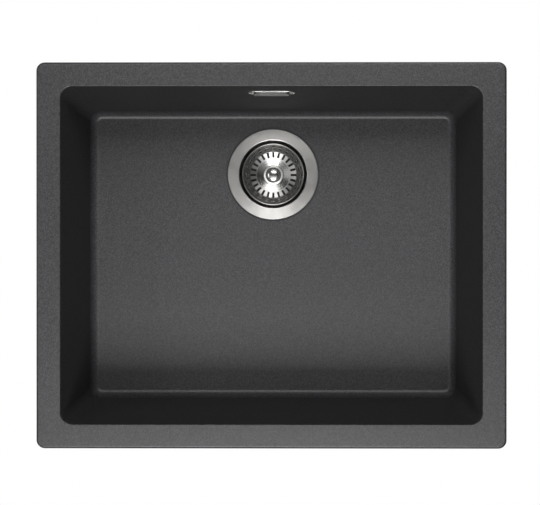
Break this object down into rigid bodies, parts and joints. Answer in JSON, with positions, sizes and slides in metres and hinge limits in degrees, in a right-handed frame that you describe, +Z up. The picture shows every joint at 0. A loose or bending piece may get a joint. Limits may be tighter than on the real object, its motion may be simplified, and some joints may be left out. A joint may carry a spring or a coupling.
{
  "type": "inset kitchen sink",
  "caption": "Inset kitchen sink: rectangular composite bowl and rim, basket strainer waste with lift-out basket, piped overflow and swing-out worktop clips.",
  "frame": {"origin": "centre of the worktop cut-out, in the plane of the worktop's top face", "axes": "+Z up out of the bowl, +Y towards the rear wall with the overflow, +X to the right"},
  "size_m": [0.56, 0.46, 0.308],
  "materials": {
    "composite": "fine granular matt, charcoal",
    "rubber": "matt black",
    "brushed": "radially brushed stainless steel",
    "polished": "polished stainless steel",
    "fixings": "zinc-plated, satin",
    "brass": "turned",
    "moulding": "white polypropylene",
    "hose": "grey flexible moulding"
  },
  "bodies": {
    "sink": {"bowl": "composite", "rim_seal": "rubber", "waste_flange": "brushed", "flange_gasket": "rubber", "body_gasket": "rubber", "waste_body": "moulding", "waste_screw": "polished", "waste_nut": "brass", "overflow_cover": "polished", "overflow_gasket": "rubber", "overflow_elbow": "moulding", "overflow_screws": "polished", "overflow_hose": "hose", "hose_seal_upper": "rubber", "hose_seal_lower": "rubber", "hose_nut_upper": "moulding", "hose_nut_lower": "moulding", "clip_inserts": "brass"},
    "stopper": {"basket_stem": "polished", "basket_knob": "polished", "basket_seal": "rubber", "basket_spacer": "moulding", "basket_washer": "polished", "basket_clip": "polished"},
    "strainer": {"basket": "polished"},
    "clip_1": {"clip_washer_1": "fixings"},
    "screw_1": {"clip_screw_1": "fixings"},
    "arm_1": {"clip_arm_1": "fixings"},
    "clip_2": {"clip_washer_2": "fixings"},
    "screw_2": {"clip_screw_2": "fixings"},
    "arm_2": {"clip_arm_2": "fixings"},
    "clip_3": {"clip_washer_3": "fixings"},
    "screw_3": {"clip_screw_3": "fixings"},
    "arm_3": {"clip_arm_3": "fixings"},
    "clip_4": {"clip_washer_4": "fixings"},
    "screw_4": {"clip_screw_4": "fixings"},
    "arm_4": {"clip_arm_4": "fixings"},
    "clip_5": {"clip_washer_5": "fixings"},
    "screw_5": {"clip_screw_5": "fixings"},
    "arm_5": {"clip_arm_5": "fixings"},
    "clip_6": {"clip_washer_6": "fixings"},
    "screw_6": {"clip_screw_6": "fixings"},
    "arm_6": {"clip_arm_6": "fixings"}
  },
  "joints": [
    {"name": "stopper_lift", "type": "slide", "parent": "sink", "child": "stopper", "axis": [0, 0, 1], "range_m": [0, 0.256]},
    {"name": "basket_turn", "type": "hinge", "parent": "stopper", "child": "strainer", "pos_m": [0, 0.102, -0.2275], "axis": [0, 0, 1], "continuous": true},
    {"name": "clip_1_rise", "type": "slide", "parent": "sink", "child": "clip_1", "axis": [0, 0, 1], "range_m": [0, 0.013]},
    {"name": "clip_1_screw", "type": "hinge", "parent": "clip_1", "child": "screw_1", "pos_m": [0.15, 0.2125, -0.048], "axis": [0, 0, 1], "range_deg": [0, 5850]},
    {"name": "clip_1_swing", "type": "hinge", "parent": "clip_1", "child": "arm_1", "pos_m": [0.15, 0.2125, -0.048], "axis": [0, 0, -1], "range_deg": [0, 90]},
    {"name": "clip_2_rise", "type": "slide", "parent": "sink", "child": "clip_2", "axis": [0, 0, 1], "range_m": [0, 0.013]},
    {"name": "clip_2_screw", "type": "hinge", "parent": "clip_2", "child": "screw_2", "pos_m": [-0.15, 0.2125, -0.048], "axis": [0, 0, 1], "range_deg": [0, 5850]},
    {"name": "clip_2_swing", "type": "hinge", "parent": "clip_2", "child": "arm_2", "pos_m": [-0.15, 0.2125, -0.048], "axis": [0, 0, -1], "range_deg": [0, 90]},
    {"name": "clip_3_rise", "type": "slide", "parent": "sink", "child": "clip_3", "axis": [0, 0, 1], "range_m": [0, 0.013]},
    {"name": "clip_3_screw", "type": "hinge", "parent": "clip_3", "child": "screw_3", "pos_m": [-0.2625, 0, -0.048], "axis": [0, 0, 1], "range_deg": [0, 5850]},
    {"name": "clip_3_swing", "type": "hinge", "parent": "clip_3", "child": "arm_3", "pos_m": [-0.2625, 0, -0.048], "axis": [0, 0, -1], "range_deg": [0, 90]},
    {"name": "clip_4_rise", "type": "slide", "parent": "sink", "child": "clip_4", "axis": [0, 0, 1], "range_m": [0, 0.013]},
    {"name": "clip_4_screw", "type": "hinge", "parent": "clip_4", "child": "screw_4", "pos_m": [-0.15, -0.2125, -0.048], "axis": [0, 0, 1], "range_deg": [0, 5850]},
    {"name": "clip_4_swing", "type": "hinge", "parent": "clip_4", "child": "arm_4", "pos_m": [-0.15, -0.2125, -0.048], "axis": [0, 0, -1], "range_deg": [0, 90]},
    {"name": "clip_5_rise", "type": "slide", "parent": "sink", "child": "clip_5", "axis": [0, 0, 1], "range_m": [0, 0.013]},
    {"name": "clip_5_screw", "type": "hinge", "parent": "clip_5", "child": "screw_5", "pos_m": [0.15, -0.2125, -0.048], "axis": [0, 0, 1], "range_deg": [0, 5850]},
    {"name": "clip_5_swing", "type": "hinge", "parent": "clip_5", "child": "arm_5", "pos_m": [0.15, -0.2125, -0.048], "axis": [0, 0, -1], "range_deg": [0, 90]},
    {"name": "clip_6_rise", "type": "slide", "parent": "sink", "child": "clip_6", "axis": [0, 0, 1], "range_m": [0, 0.013]},
    {"name": "clip_6_screw", "type": "hinge", "parent": "clip_6", "child": "screw_6", "pos_m": [0.2625, 0, -0.048], "axis": [0, 0, 1], "range_deg": [0, 5850]},
    {"name": "clip_6_swing", "type": "hinge", "parent": "clip_6", "child": "arm_6", "pos_m": [0.2625, 0, -0.048], "axis": [0, 0, -1], "range_deg": [0, 90]}
  ],
  "couplings": [
    {"joint": "clip_1_screw", "follows": "clip_1_rise", "rad_per_m": 7854},
    {"joint": "clip_2_screw", "follows": "clip_2_rise", "rad_per_m": 7854},
    {"joint": "clip_3_screw", "follows": "clip_3_rise", "rad_per_m": 7854},
    {"joint": "clip_4_screw", "follows": "clip_4_rise", "rad_per_m": 7854},
    {"joint": "clip_5_screw", "follows": "clip_5_rise", "rad_per_m": 7854},
    {"joint": "clip_6_screw", "follows": "clip_6_rise", "rad_per_m": 7854}
  ]
}
